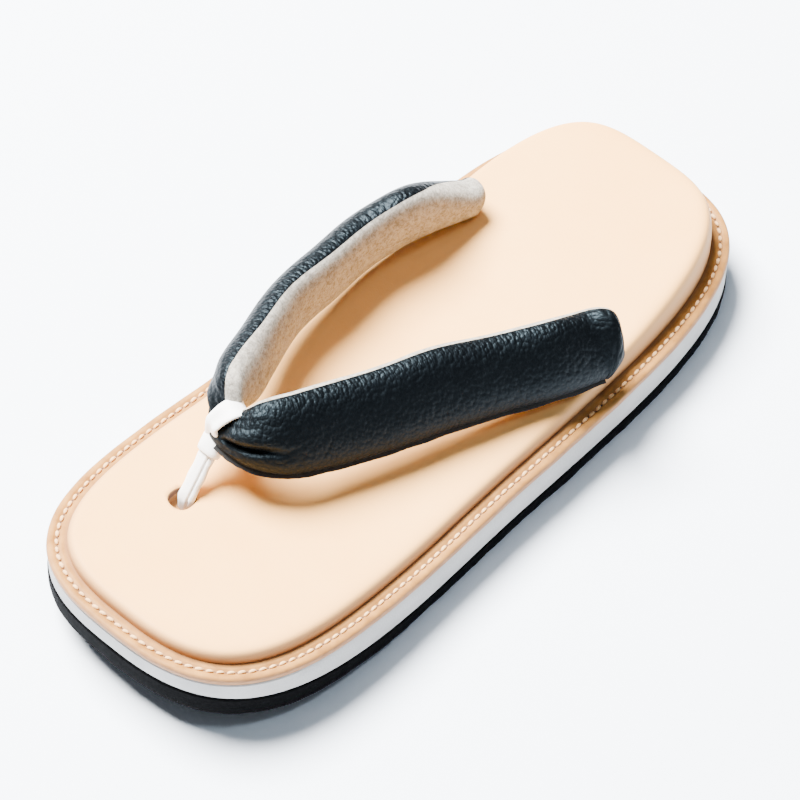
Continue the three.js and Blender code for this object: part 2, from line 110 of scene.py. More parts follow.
# Centre line of the strap, as shares of half the waist width, of the sole length behind the toe
# tip and of STRAP_LIFT; lean in degrees; width, pad and inside as shares of the strap's width, of
# its leather swell and of its lining swell; seam, the upper seam's place towards the leather side.
# side, back, lift, lean, width, pad, inside, seam
STRAP_ROWS = [
    (0.747, 0.673, 0.06, 42, 0.98, 1.00, 1.00, 12),
    (0.665, 0.629, 0.165, 38, 1.04, 0.98, 0.98, 14),
    (0.487, 0.561, 0.315, 42, 1.05, 1.00, 1.00, 16),
    (0.332, 0.494, 0.45, 42, 1.12, 1.00, 1.00, 16),
    (0.192, 0.423, 0.545, 42.5, 1.10, 1.00, 1.00, 16),
    (0.042, 0.356, 0.635, 42, 1.10, 1.00, 1.00, 17),
    (-0.090, 0.302, 0.78, 43, 1.035, 0.96, 0.96, 18),
    (-0.213, 0.279, 0.92, 47, 0.86, 0.86, 0.87, 22),
    (-0.336, 0.270, 0.99, 50, 0.61, 0.62, 0.63, 27),
    (-0.411, 0.271, 1.00, 50, 0.525, 0.54, 0.555, 38),
    (-0.466, 0.281, 0.98, 36, 0.565, 0.62, 0.65, 50),
    (-0.512, 0.297, 0.875, 10, 0.76, 0.94, 0.95, 23),
    (-0.574, 0.330, 0.705, -11, 0.925, 1.15, 1.19, -3),
    (-0.673, 0.386, 0.57, -7.5, 0.95, 1.14, 1.10, -9),
    (-0.775, 0.452, 0.455, -3, 0.98, 1.17, 1.08, -9),
    (-0.805, 0.523, 0.34, 2, 1.01, 1.20, 1.18, -10),
    (-0.815, 0.594, 0.27, 4, 1.015, 1.17, 1.18, -11),
    (-0.738, 0.665, 0.21, 7, 1.04, 1.13, 1.20, -4),
    (-0.635, 0.745, 0.03, 4, 0.52, 0.97, 1.15, 40),
]
BEND_ROW = 9

# How each rear end turns down about its lower edge: degrees, share of width, share of pad.
END_TURN = [(12, 1.00, 0.97), (22, 0.95, 0.93), (30, 0.75, 0.88), (42, 0.55, 0.80), (62, 0.48, 0.71)]
CORNER_HOLD = 3

HALF_LENGTH = SOLE_LENGTH / 2
HALF_WAIST = WAIST_WIDTH / 2
UP = np.array([0.0, 0.0, 1.0])

# Fineness
OUTLINE_POINTS = 420
CAP_COLUMNS = 26
STEPS_BETWEEN_ROWS = 3
STRAP_REFINE = 6
STRAP_ROUND = 44
LINING_ROUND = 30
SMOOTH_ANGLE = 35.0
BAND_ANGLE = 50
WANDER_WAVES = 6


# Shape functions

def ease(value):
    t = np.clip(value, 0, 1)
    return t * t * (3 - 2 * t)


def mix(a, b, t):
    return a + (b - a) * t


def signed_power(value, power):
    return np.sign(value) * np.abs(value) ** power


def unit(v):
    return v / np.linalg.norm(v)


def circle(count):
    """Angles at equal steps round a circle."""
    return 2 * np.pi * np.arange(count) / count


def run_along(points):
    """The distance from the first point to each point."""
    return np.concatenate([[0], np.cumsum(np.linalg.norm(np.diff(points, axis=0), axis=1))])


def places_on(points, run, wanted):
    return np.column_stack([np.interp(wanted, run, points[:, k]) for k in (0, 1)])


def spring(y):
    into_toe = np.maximum(SPRING_START - HALF_LENGTH - y, 0)
    return TOE_SPRING * (into_toe / SPRING_START) ** 2


def from_toe(y):
    return (y + HALF_LENGTH) / SOLE_LENGTH


def outsole_top(y):
    return spring(y) + mix(OUTSOLE_TOE, OUTSOLE_HEEL, ease(from_toe(y) / OUTSOLE_TAPER))


def midsole_bottom(y):
    return outsole_top(y) + LAYER_GAP


def midsole_top(y):
    return midsole_bottom(y) + mix(MIDSOLE_TOE, MIDSOLE_HEEL, ease(from_toe(y) / MIDSOLE_TAPER))


def welt_bottom(y):
    return midsole_top(y) + LAYER_GAP


def welt_top(y):
    return welt_bottom(y) + WELT_THICKNESS


def footbed_rise(y):
    share = ease((from_toe(y) - FOOTBED_TAPER) / (1 - FOOTBED_TAPER))
    return mix(FOOTBED_RISE_TOE, FOOTBED_RISE_HEEL, share)


def footbed_top(y):
    return welt_top(y) + footbed_rise(y)


def make_outline(count):
    angle = circle(count)
    along = -np.cos(angle)
    across = np.sin(angle)
    squareness = np.where(along < 0, TOE_SQUARENESS, HEEL_SQUARENESS)
    flare = np.where(along < 0, TOE_FLARE, HEEL_FLARE)
    place = signed_power(along, 2 / squareness)
    width = HALF_WAIST * (1 + flare * place ** 2)
    x = width * signed_power(across, 2 / squareness) - INWARD_SWAY * place ** 2
    x = x - (x.max() + x.min()) / 2
    return spread_evenly(np.column_stack([x, place * HALF_LENGTH]), count)


def spread_evenly(points, count):
    """The same closed outline with points at equal steps, the first one kept."""
    closed = np.vstack([points, points[:1]])
    run = run_along(closed)
    return places_on(closed, run, np.linspace(0, run[-1], count, endpoint=False))


OUTLINE = make_outline(OUTLINE_POINTS)
OUTLINE_FLAT = np.column_stack([OUTLINE, OUTLINE[:, 0] * 0])


def outline_normals(points):
    along = np.roll(points, -1, 0) - np.roll(points, 1, 0)
    along /= np.linalg.norm(along, axis=1)[:, None]
    return np.column_stack([along[:, 1], -along[:, 0]])


OUTLINE_NORMALS = outline_normals(OUTLINE)


def between(low, high, share, sink=0.0):
    """The height at a share of the way from one surface to the next."""
    return lambda y: mix(low(y), high(y), share) - sink


def ring_at(inset, height):
    """A ring of the outline, drawn in by inset, at the height that the function gives."""
    flat = OUTLINE - OUTLINE_NORMALS * np.reshape(inset, (-1, 1))
    return np.column_stack([flat, height(flat[:, 1])])


# Mesh building

def new_object(name, vertices, faces, smooth_angle=SMOOTH_ANGLE):
    mesh = bpy.data.meshes.new(name)
    mesh.from_pydata((np.asarray(vertices) * MM).tolist(), [], faces)
    mesh.validate()
    mesh.update()
    obj = bpy.data.objects.new(name, mesh)
    bpy.context.scene.collection.objects.link(obj)
    mesh.polygons.foreach_set("use_smooth", [True] * len(mesh.polygons))
    mesh.set_sharp_from_angle(angle=math.radians(smooth_angle))
    return obj


def add_uv(obj, uv):
    """One u, v pair for each vertex, in metres along and round the surface."""
    layer = obj.data.uv_layers.new(name="surface")
    index = np.empty(len(obj.data.loops), dtype=np.int32)
    obj.data.loops.foreach_get("vertex_index", index)
    layer.data.foreach_set("uv", (np.asarray(uv)[index] * MM).astype(np.float32).ravel())


def add_value(obj, name, values):
    attribute = obj.data.attributes.new(name, "FLOAT", "POINT")
    attribute.data.foreach_set("value", np.asarray(values, dtype=np.float32))


def ring_starts(rings):
    """The number of the first vertex of each ring."""
    return [i * len(rings[0]) for i in range(len(rings))]


def walls(starts, count):
    """Faces between each ring and the next."""
    faces = []
    for low, high in zip(starts[:-1], starts[1:]):
        for i in range(count):
            j = (i + 1) % count
            faces.append((low + i, low + j, high + j, high + i))
    return faces


def end_faces(starts, count):
    """One face over the first ring and one over the last."""
    return [tuple(range(count))[::-1], tuple(range(starts[-1], starts[-1] + count))]


def cap(vertices, ring, first, columns, flip=False):
    """Closes a ring that starts at vertex first, with rungs of several columns across."""
    count = len(ring)
    half = count // 2
    rows = [[first]]
    for i in range(1, half):
        near, far, inner = ring[i], ring[count - i], []
        for k in range(1, columns):
            inner.append(len(vertices))
            vertices.append(near + (far - near) * k / columns)
        rows.append([first + i] + inner + [first + count - i])
    rows.append([first + half])
    faces = []
    for a, b in zip(rows[:-1], rows[1:]):
        if len(a) == 1:
            faces += [(a[0], b[k], b[k + 1]) for k in range(len(b) - 1)]
        elif len(b) == 1:
            faces += [(a[k + 1], a[k], b[0]) for k in range(len(a) - 1)]
        else:
            faces += [(a[k], b[k], b[k + 1], a[k + 1]) for k in range(len(a) - 1)]
    if flip:
        faces = [face[::-1] for face in faces]
    return faces


def slab(name, rings, columns=CAP_COLUMNS, smooth_angle=SMOOTH_ANGLE):
    """Rings joined one after another, closed at both ends."""
    vertices = [p for ring in rings for p in ring]
    starts = ring_starts(rings)
    faces = walls(starts, len(rings[0]))
    faces += cap(vertices, rings[-1], starts[-1], columns)
    faces += cap(vertices, rings[0], 0, 2, flip=True)
    return new_object(name, vertices, faces, smooth_angle)


def hoop(name, rings):
    """Rings joined to a band, the last one to the first again."""
    return new_object(name, np.vstack(rings), walls(ring_starts(rings) + [0], len(rings[0])), BAND_ANGLE)


def apply_modifiers(obj):
    bpy.context.view_layer.update()
    evaluated = obj.evaluated_get(bpy.context.evaluated_depsgraph_get())
    mesh = bpy.data.meshes.new_from_object(evaluated)
    obj.modifiers.clear()
    obj.data = mesh


def wander(points, scale, seed):
    """Smooth unevenness between -1 and 1, the same at every run."""
    rng = np.random.default_rng(seed)
    total = np.zeros(len(points))
    for _ in range(WANDER_WAVES):
        direction = unit(rng.normal(size=3))
        phase = rng.uniform(0, 2 * np.pi)
        total += np.sin(points @ direction * (2 * np.pi / scale) * rng.uniform(0.6, 1.6) + phase)
    return total / WANDER_WAVES * 1.4


# Materials. Colours are linear, texture scales are repeats a metre, and depths are metres.

PALETTE = {
    "black leather": (0.0005, 0.0006, 0.0008), "worn leather": (0.0009, 0.001, 0.0013),
    # Painted reflection, paler and bluer, for the lower part of the strap
    "painted lower reflection": (0.003, 0.0033, 0.0038),
    "cool sheen": (0.45, 0.75, 1.0), "cool gloss": (0.6, 0.84, 1.0),
    "raw edge": (0.0003, 0.0003, 0.0003), "edge fibre": (0.0012, 0.001, 0.0009),
    "suede": (0.29, 0.28, 0.265), "pale suede": (0.365, 0.35, 0.33), "suede speck": (0.38, 0.34, 0.27),
    "suede fleck": (0.5, 0.48, 0.45), "suede sheen": (0.86, 0.78, 0.7),
    "footbed": (0.87, 0.45, 0.14), "pale footbed": (0.92, 0.49, 0.165), "footbed mottle": (0.83, 0.41, 0.115),
    # Browned footbed side, partly burnishing and partly painted shade; painted shade round and inside the
    # holes
    "burnished edge with painted shade": (0.42, 0.215, 0.09), "painted hole rim shade": (0.3, 0.16, 0.08), "painted hole shade": (0.15, 0.08, 0.05),
    "welt": (0.25, 0.105, 0.02), "pale welt": (0.42, 0.195, 0.045),
    # The last colour here is painted shade for the welt's crease and stitch groove
    "welt cut": (0.26, 0.12, 0.05), "pale welt cut": (0.38, 0.2, 0.1), "painted welt crease shade": (0.2, 0.095, 0.045),
    "foam": (0.38, 0.37, 0.36), "pale foam": (0.47, 0.455, 0.445), "foam bead": (0.3, 0.3, 0.3),
    "rubber": (0.0012, 0.0012, 0.0014), "dusty rubber": (0.004, 0.004, 0.0045),
    "white leather": (0.82, 0.81, 0.79), "bright leather": (0.88, 0.875, 0.86),
    "thread": (0.6, 0.33, 0.13), "pale thread": (0.82, 0.5, 0.22),
    # Painted shade for the pinholes
    "pinhole": (0.05, 0.025, 0.015), "pinhole rim": (0.12, 0.06, 0.035),
    "floor": (0.84, 0.9, 0.98),
}

LEATHER_FALL = 30.0      # share of its height that a metre round the leather takes away
RIM_SHADE_REACH = 1.7          # reach of the painted shade on a hole's rim, in its radii
INSIDE_SHADE_REACH = 1.2       # reach of the painted shade inside a hole, in its radii
INSIDE_SHADE_START = 0.0003    # depth at which the painted shade inside a hole starts
INSIDE_SHADE_FADE = 1500.0     # how fast that painted shade comes in, for each metre deeper


def rgba(color):
    """A colour of the palette by its name, or a grey by its value."""
    return (*PALETTE[color], 1.0) if isinstance(color, str) else (color, color, color, 1.0)


class Nodes:
    """A short way to write a material's node tree."""

    def __init__(self, name, roughness, **sockets):
        self.material = bpy.data.materials.new(name)
        self.material.use_nodes = True
        self.tree = self.material.node_tree
        self.shader = self.tree.nodes["Principled BSDF"]
        self.shader.inputs["Roughness"].default_value = roughness
        for key, value in sockets.items():
            socket = self.shader.inputs[key.replace("_", " ")]
            socket.default_value = rgba(value) if isinstance(value, str) else value

    def add(self, kind, **settings):
        node = self.tree.nodes.new(kind)
        for key, value in settings.items():
            setattr(node, key, value)
        return node

    def link(self, source, target):
        self.tree.links.new(source, target)

    def place(self, kind="Object"):
        return self.add("ShaderNodeTexCoord").outputs[kind]

    def stretched(self, vector, scale):
        mapping = self.add("ShaderNodeMapping")
        mapping.inputs["Scale"].default_value = scale
        self.link(vector, mapping.inputs["Vector"])
        return mapping.outputs["Vector"]

    def noise(self, vector, scale, detail=3.0, roughness=0.55):
        node = self.add("ShaderNodeTexNoise")
        node.inputs["Scale"].default_value = scale
        node.inputs["Detail"].default_value = detail
        node.inputs["Roughness"].default_value = roughness
        self.link(vector, node.inputs["Vector"])
        return node.outputs["Fac"]

    def cells(self, vector, scale, smoothness=0.4):
        node = self.add("ShaderNodeTexVoronoi", feature="SMOOTH_F1")
        node.inputs["Scale"].default_value = scale
        node.inputs["Smoothness"].default_value = smoothness
        self.link(vector, node.inputs["Vector"])
        return node.outputs["Distance"]

    def domes(self, vector, scale, smoothness):
        """Low round grains with narrow valleys between them."""
        reach = self.cells(vector, scale, smoothness)
        return self.math("MULTIPLY", self.math("MULTIPLY", reach, reach), -1.0)

    def part(self, vector, axis):
        node = self.add("ShaderNodeSeparateXYZ")
        self.link(vector, node.inputs[0])
        return node.outputs[axis]

    def distance(self, vector, point):
        node = self.add("ShaderNodeVectorMath", operation="DISTANCE")
        self.link(vector, node.inputs[0])
        node.inputs[1].default_value = point
        return node.outputs["Value"]

    def attribute(self, name):
        return self.add("ShaderNodeAttribute", attribute_name=name).outputs["Fac"]

    def math(self, operation, first, second=0.0, clamp=False):
        node = self.add("ShaderNodeMath", operation=operation, use_clamp=clamp)
        for socket, value in zip(node.inputs, (first, second)):
            if isinstance(value, (int, float)):
                socket.default_value = value
            else:
                self.link(value, socket)
        return node.outputs["Value"]

    def weighed(self, *terms):
        """The sum of several values, each with its weight."""
        total = None
        for value, weight in terms:
            term = self.math("MULTIPLY", value, weight)
            total = term if total is None else self.math("ADD", total, term)
        return total

    def ramp(self, value, *stops):
        """Each stop is a position and a colour's name or a grey."""
        node = self.add("ShaderNodeValToRGB")
        elements = node.color_ramp.elements
        while len(elements) < len(stops):
            elements.new(0.5)
        for element, (position, color) in zip(elements, stops):
            element.position = position
            element.color = rgba(color)
        self.link(value, node.inputs["Fac"])
        return node.outputs["Color"]

    def blend(self, factor, first, second, kind="MIX"):
        node = self.add("ShaderNodeMix", data_type="RGBA", blend_type=kind)
        for name, value in (("Factor", factor), ("A", first), ("B", second)):
            socket = [s for s in node.inputs if s.name == name and s.enabled][0]
            if isinstance(value, (int, float)):
                socket.default_value = value
            elif isinstance(value, str):
                socket.default_value = rgba(value)
            else:
                self.link(value, socket)
        return [s for s in node.outputs if s.enabled][0]

    def color(self, value):
        self.link(value, self.shader.inputs["Base Color"])

    def rough(self, value, low, high):
        node = self.add("ShaderNodeMapRange")
        node.inputs["To Min"].default_value = low
        node.inputs["To Max"].default_value = high
        self.link(value, node.inputs["Value"])
        self.link(node.outputs["Result"], self.shader.inputs["Roughness"])

    def bumps(self, *layers):
        """Each layer is a height, its depth in metres and its strength."""
        normal = None
        for height, depth, strength in layers:
            node = self.add("ShaderNodeBump")
            node.inputs["Distance"].default_value = depth
            node.inputs["Strength"].default_value = strength
            self.link(height, node.inputs["Height"])
            if normal is not None:
                self.link(normal, node.inputs["Normal"])
            normal = node.outputs["Normal"]
        self.link(normal, self.shader.inputs["Normal"])


def black_leather():
    """Pebbled leather with cross wrinkles, glossier at the top of the strap and matt below, with a painted
    reflection on its lower part.
    """
    n = Nodes("black pebbled leather", 0.4, Sheen_Weight=0.01, Sheen_Roughness=0.35,
              Sheen_Tint="cool sheen", Specular_IOR_Level=0.12, Specular_Tint="cool gloss")
    flat = n.place("UV")
    surface = n.stretched(flat, (1.0, 0.8, 1.0))
    pebbles = n.domes(surface, 820, 0.35)
    fine = n.domes(surface, 1900, 0.4)
    wrinkles = n.noise(n.stretched(flat, (1.0, 0.16, 1.0)), 620, 2.0)
    wear = n.noise(n.place(), 55)
    height = n.math("SUBTRACT", 0.5, n.math("MULTIPLY", n.part(flat, "Y"), LEATHER_FALL), clamp=True)
    # Painted reflection: the lower part of the strap is coloured paler and bluer, where a reflection falls.
    low = n.ramp(height, (0.04, 1.0), (0.34, 0.0))
    n.color(n.blend(low, n.blend(wear, "black leather", "worn leather"), "painted lower reflection"))
    gloss = n.weighed((pebbles, 0.4), (height, 0.75), (wear, 0.2))
    n.rough(n.math("SUBTRACT", 1.0, gloss), 0.3, 0.62)
    n.bumps((wrinkles, 0.0007, 0.45), (pebbles, 0.0006, 0.45), (fine, 0.00012, 0.5))
    return n.material


def raw_edge():
    n = Nodes("raw black edge", 0.9)
    fibres = n.noise(n.place(), 1400, 4.0)
    n.color(n.ramp(fibres, (0.35, "raw edge"), (0.75, "edge fibre")))
    n.bumps((fibres, 0.0004, 0.6))
    return n.material


def suede():
    n = Nodes("taupe suede", 0.95, Sheen_Weight=0.1, Sheen_Roughness=0.5, Sheen_Tint="suede sheen",
              Specular_IOR_Level=0.2)
    place = n.place()
    nap = n.noise(place, 1300, 5.0, 0.7)
    patches = n.noise(place, 170, 3.0)
    specks = n.noise(place, 520, 4.0, 0.75)
    base = n.ramp(patches, (0.3, "suede"), (0.7, "pale suede"))
    speckled = n.blend(n.math("MULTIPLY", specks, 0.9), base, "suede speck")
    flecks = n.ramp(n.weighed((nap, 0.5), (specks, 0.5)), (0.4, "suede fleck"), (0.58, 1.1))
    n.color(n.blend(1.0, speckled, flecks, "MULTIPLY"))
    n.bumps((specks, 0.0005, 0.4), (nap, 0.00022, 0.75))
    return n.material


def footbed_leather(holes):
    """Smooth leather, browner where its edge is burnished, with painted shade added there, and with painted
    shade round and inside the holes.
    """
    n = Nodes("natural footbed leather", 0.5, Specular_IOR_Level=0.12)
    place = n.place()
    cloud = n.noise(place, 26, 3.0)
    mottle = n.noise(place, 140, 4.0)
    pores = n.cells(place, 2100)
    grain = n.noise(place, 900, 4.0, 0.6)
    pale = n.ramp(cloud, (0.3, "footbed"), (0.7, "pale footbed"))
    toned = n.blend(n.math("MULTIPLY", mottle, 0.35), pale, "footbed mottle")
    # The edge attribute browns the side and shoulder towards the welt: partly burnishing, partly painted
    # shade.
    burnish_and_shade = n.ramp(n.attribute("edge"), (0.0, 0.0), (0.42, 0.16), (0.75, 0.72), (1.0, 1.0))
    toned = n.blend(burnish_and_shade, toned, "burnished edge with painted shade")
    for centre, radius in holes:
        # Painted shade: each hole's rim is darkened, and its inside is darkened below the mouth.
        reach = n.distance(place, centre)
        rim = n.ramp(n.math("DIVIDE", reach, radius * RIM_SHADE_REACH), (0.52, 1.0), (0.8, 0.0))
        toned = n.blend(n.math("MULTIPLY", rim, 0.6), toned, "painted hole rim shade")
        sunk = n.math("SUBTRACT", centre[2] - INSIDE_SHADE_START, n.part(place, "Z"))
        inside = n.math("MULTIPLY", n.math("MULTIPLY", sunk, INSIDE_SHADE_FADE, clamp=True),
                        n.math("LESS_THAN", reach, radius * INSIDE_SHADE_REACH))
        toned = n.blend(inside, toned, "painted hole shade")
    n.color(toned)
    n.rough(n.weighed((mottle, 0.6), (grain, 0.4)), 0.42, 0.6)
    n.bumps((cloud, 0.0012, 0.12), (grain, 0.00012, 0.35), (pores, 0.00006, 0.3))
    return n.material


def welt_leather():
    n = Nodes("tan welt leather", 0.55, Specular_IOR_Level=0.15)
    place = n.place()
    mottle = n.noise(place, 190, 4.0)
    grain = n.noise(place, 1100, 4.0)
    streaks = n.noise(n.stretched(place, (1.0, 1.0, 6.0)), 300, 4.0)
    top = n.ramp(mottle, (0.3, "welt"), (0.7, "pale welt"))
    side = n.ramp(streaks, (0.3, "welt cut"), (0.7, "pale welt cut"))
    color = n.blend(n.attribute("cut"), top, side)
    # Painted shade: darker at the welt's inner foot by the footbed, in the stitch groove and along its lower
    # outer edge.
    n.color(n.blend(n.math("MULTIPLY", n.attribute("crease"), 0.75), color, "painted welt crease shade"))
    n.bumps((mottle, 0.0004, 0.2), (grain, 0.00015, 0.45))
    return n.material


def foam():
    n = Nodes("pale foam", 0.78, Specular_IOR_Level=0.3)
    place = n.place()
    beads = n.cells(place, 1300)
    soil = n.noise(place, 60, 4.0)
    tone = n.ramp(soil, (0.3, "foam"), (0.7, "pale foam"))
    n.color(n.blend(n.math("MULTIPLY", beads, 0.3), tone, "foam bead"))
    n.bumps((beads, 0.00015, 0.5), (soil, 0.0004, 0.15))
    return n.material


def black_rubber():
    n = Nodes("black rubber", 0.85, Specular_IOR_Level=0.03)
    place = n.place()
    crumb = n.noise(place, 900, 5.0, 0.7)
    scuff = n.noise(n.stretched(place, (1.0, 1.0, 5.0)), 170, 4.0)
    n.color(n.ramp(crumb, (0.3, "rubber"), (0.75, "dusty rubber")))
    n.bumps((scuff, 0.0006, 0.35), (crumb, 0.0003, 0.6))
    return n.material


def white_leather():
    n = Nodes("white leather", 0.5, Coat_Weight=0.1, Coat_Roughness=0.4)
    place = n.place()
    grain = n.cells(place, 1500)
    soil = n.noise(place, 240, 3.0)
    n.color(n.ramp(soil, (0.3, "white leather"), (0.7, "bright leather")))
    n.bumps((n.math("MULTIPLY", grain, -1.0), 0.00012, 0.4), (soil, 0.0005, 0.2))
    return n.material


def thread():
    n = Nodes("cream thread", 0.75, Sheen_Weight=0.2)
    twist = n.noise(n.place(), 2300, 3.0)
    n.color(n.ramp(twist, (0.3, "thread"), (0.7, "pale thread")))
    n.bumps((twist, 0.0002, 0.5))
    return n.material


def dark_pit():
    n = Nodes("pinhole shade", 0.95)
    # Painted shade: the pinholes are coloured near black, where shade falls into them.
    n.color(n.ramp(n.noise(n.place(), 900, 2.0), (0.3, "pinhole"), (0.7, "pinhole rim")))
    return n.material


def backdrop():
    return Nodes("pale floor", 0.7, Base_Color="floor", Specular_IOR_Level=0.25).material


def finish_piece(obj, material, slot, *nodes):
    obj.data.materials.clear()
    obj.data.materials.append(material)
    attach(obj, "root")
    if nodes:
        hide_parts(*nodes)


# Strap frames: the same sections as the frame's, refined

Section = namedtuple("Section", "centre up out width pad_out pad_in seam")


def smooth_curve(points, t, centripetal):
    """A Catmull-Rom curve through the points, open at both ends."""
    last = len(points) - 1
    place = min(max(t, 0.0), 1.0) * last
    i = min(int(place), last - 1)
    w = place - i
    before = points[i - 1] if i > 0 else 2 * points[0] - points[1]
    after = points[i + 2] if i + 2 <= last else 2 * points[last] - points[last - 1]
    a, b = points[i], points[i + 1]
    if centripetal:
        d0, d1, d2 = (np.linalg.norm(q - p) ** 0.5 for p, q in ((before, a), (a, b), (b, after)))
        m0 = ((a - before) / d0 - (b - before) / (d0 + d1) + (b - a) / d1) * d1
        m1 = ((b - a) / d1 - (after - a) / (d1 + d2) + (after - b) / d2) * d1
    else:
        m0, m1 = (b - before) / 2, (after - a) / 2
    return a + m0 * w + (3 * (b - a) - 2 * m0 - m1) * w ** 2 + (2 * (a - b) + m0 + m1) * w ** 3


TINY = 1e-4
ROWS = np.array(STRAP_ROWS, dtype=float)
PLAN = np.column_stack([ROWS[:, 0] * HALF_WAIST, ROWS[:, 1] * SOLE_LENGTH - HALF_LENGTH, 0 * ROWS[:, 0]])


def strap_travel(t):
    return unit(smooth_curve(PLAN, t + TINY, True) - smooth_curve(PLAN, t - TINY, True))


def strap_section(t):
    centre = smooth_curve(PLAN, t, True)
    travel = strap_travel(min(max(t, TINY), 1 - TINY))
    lift, lean, width, pad, inside, seam = smooth_curve(ROWS[:, 2:], t, False)
    sideways = unit(np.array([-travel[1], travel[0], 0.0]))
    angle = math.radians(lean)
    out = sideways * math.cos(angle) + UP * math.sin(angle)
    up = -sideways * math.sin(angle) + UP * math.cos(angle)
    width = STRAP_WIDTH * width
    centre[2] = footbed_top(centre[1]) + STRAP_LIFT * lift + width / 2 * up[2]
    return Section(centre, up, out, width, STRAP_PAD_OUT * pad, STRAP_PAD_IN * inside, math.radians(seam))


def end_sections(end, rearward):
    foot = np.array([end.centre[0] - TAIL_SHIFT, end.centre[1], footbed_top(end.centre[1])])
    sideways = np.array([rearward[1], -rearward[0], 0.0]) * np.sign(end.centre[0])
    corner = end.centre - end.up * (end.width / 2 + END_RADIUS)
    corner_end = foot - rearward * (TAIL_WIDTH / 2 + END_RADIUS) + UP * LAYER_GAP
    sections = []
    for turn, width_share, pad_share in END_TURN:
        share = turn / 90
        angle = math.radians(turn)
        out = unit(mix(end.out, sideways, share))
        rise = unit(mix(end.up, UP, share))
        up = unit(rise * math.cos(angle) + rearward * math.sin(angle))
        width = end.width * width_share
        centre = mix(corner, corner_end, share ** CORNER_HOLD) + up * (width / 2 + END_RADIUS)
        pad_out = mix(end.pad_out * pad_share, TAIL_PAD, share ** 2)
        pad_in = mix(end.pad_in * pad_share, TAIL_PAD, share ** 2)
        sections.append(Section(centre, up, out, width, pad_out, pad_in, end.seam))
    for height in (LAYER_GAP, -TAIL_DEPTH / 2, -TAIL_DEPTH):
        sections.append(Section(foot + UP * height, rearward, sideways,
                                TAIL_WIDTH, TAIL_PAD, TAIL_PAD, end.seam))
    return sections


def coarse_sections():
    steps = (len(ROWS) - 1) * STEPS_BETWEEN_ROWS
    run = [strap_section(i / steps) for i in range(steps + 1)]
    outer = end_sections(run[0], -strap_travel(TINY))[::-1]
    inner = end_sections(run[-1], strap_travel(1 - TINY))
    return outer + run + inner


def refined(sections, steps):
    packed = np.array([np.hstack(section) for section in sections])
    result = []
    total = (len(sections) - 1) * steps
    for i in range(total + 1):
        row = smooth_curve(packed, i / total, False)
        up = unit(row[3:6])
        out = unit(row[6:9] - up * (row[6:9] @ up))
        result.append(Section(row[:3], up, out, *row[9:]))
    return result


def section_ring(section, angles, wall, groove):
    outside = np.sin(angles) >= 0
    pad = np.where(outside, section.pad_out, section.pad_in) - wall
    across = (section.width / 2 - wall) * signed_power(np.cos(angles), 2 / STRAP_SQUARENESS)
    swell = pad * signed_power(np.sin(angles), 2 / STRAP_SQUARENESS) - groove
    return section.centre + np.outer(across, section.up) + np.outer(swell, section.out)


SECTIONS = refined(coarse_sections(), STRAP_REFINE)
BEND_SECTION = strap_section(BEND_ROW / (len(ROWS) - 1))
CENTRES = np.array([s.centre for s in SECTIONS])
STRAP_RUN = run_along(CENTRES)
BEND_INDEX = int(np.argmin(np.linalg.norm(CENTRES - BEND_SECTION.centre, axis=1)))
FROM_BEND = STRAP_RUN - STRAP_RUN[BEND_INDEX]


# The strap's surface
END_FADE = 12.0          # length of each end over which its unevenness comes in
EDGE_FROM_END = 14.0     # where the raw edge starts, from each end of the strap
SEAM_LAP = 0.02          # angle: leather past the lower seam, lining short of the upper one
LINING_GAP = 0.05        # angle: lining short of the lower seam
BACK_UV = 60             # sets the hidden side of each wall apart on the texture
UNEVENNESS = 0.2
WRINKLE_DEPTH = 0.05
WRINKLE_PITCH = 2.6
LINING_UNEVENNESS = 0.12
EDGE_ROOT = 0.6          # how far the raw edge starts inside the seam
EDGE_HEIGHT = 1.9
EDGE_OUTWARD = 0.65
EDGE_HALF = 0.5


def pinch_folds(angles, distance):
    """Depth of the creases that gather the leather at the toe bend, by distance along the strap."""
    reach = abs(distance)

    def fold(depth, fade_from, fade_over, shape):
        return depth * ease((reach - 2.0) / 4.0) * (1 - ease((reach - fade_from) / fade_over)) * shape

    def ridge(place, width):
        return np.exp(-((angles - place) / width) ** 2)

    course = mix(2.06, 1.93, ease((reach - 4) / 12))
    slit = fold(3.0, 9, 14, ridge(course, 0.11))
    lip = fold(-1.0, 10, 14, ridge(course - 0.3, 0.24))
    upper = fold(0.5, 5, 9, ridge(1.15, 0.1))
    gathers = fold(0.2, 4, 9, np.sin(13 * angles + 0.35 * reach))
    return slit + lip + upper + gathers


def bend_wrinkles(points, from_end):
    """Fine cross wrinkles where the strap turns down at its rear ends, and a soft unevenness."""
    near_end = 1 - ease((from_end - 4) / 18)
    waves = np.sin(2 * np.pi * (from_end + 0.5 * wander(points, 12, 5)) / WRINKLE_PITCH)
    return UNEVENNESS * wander(points, 26, 11) + WRINKLE_DEPTH * near_end * waves


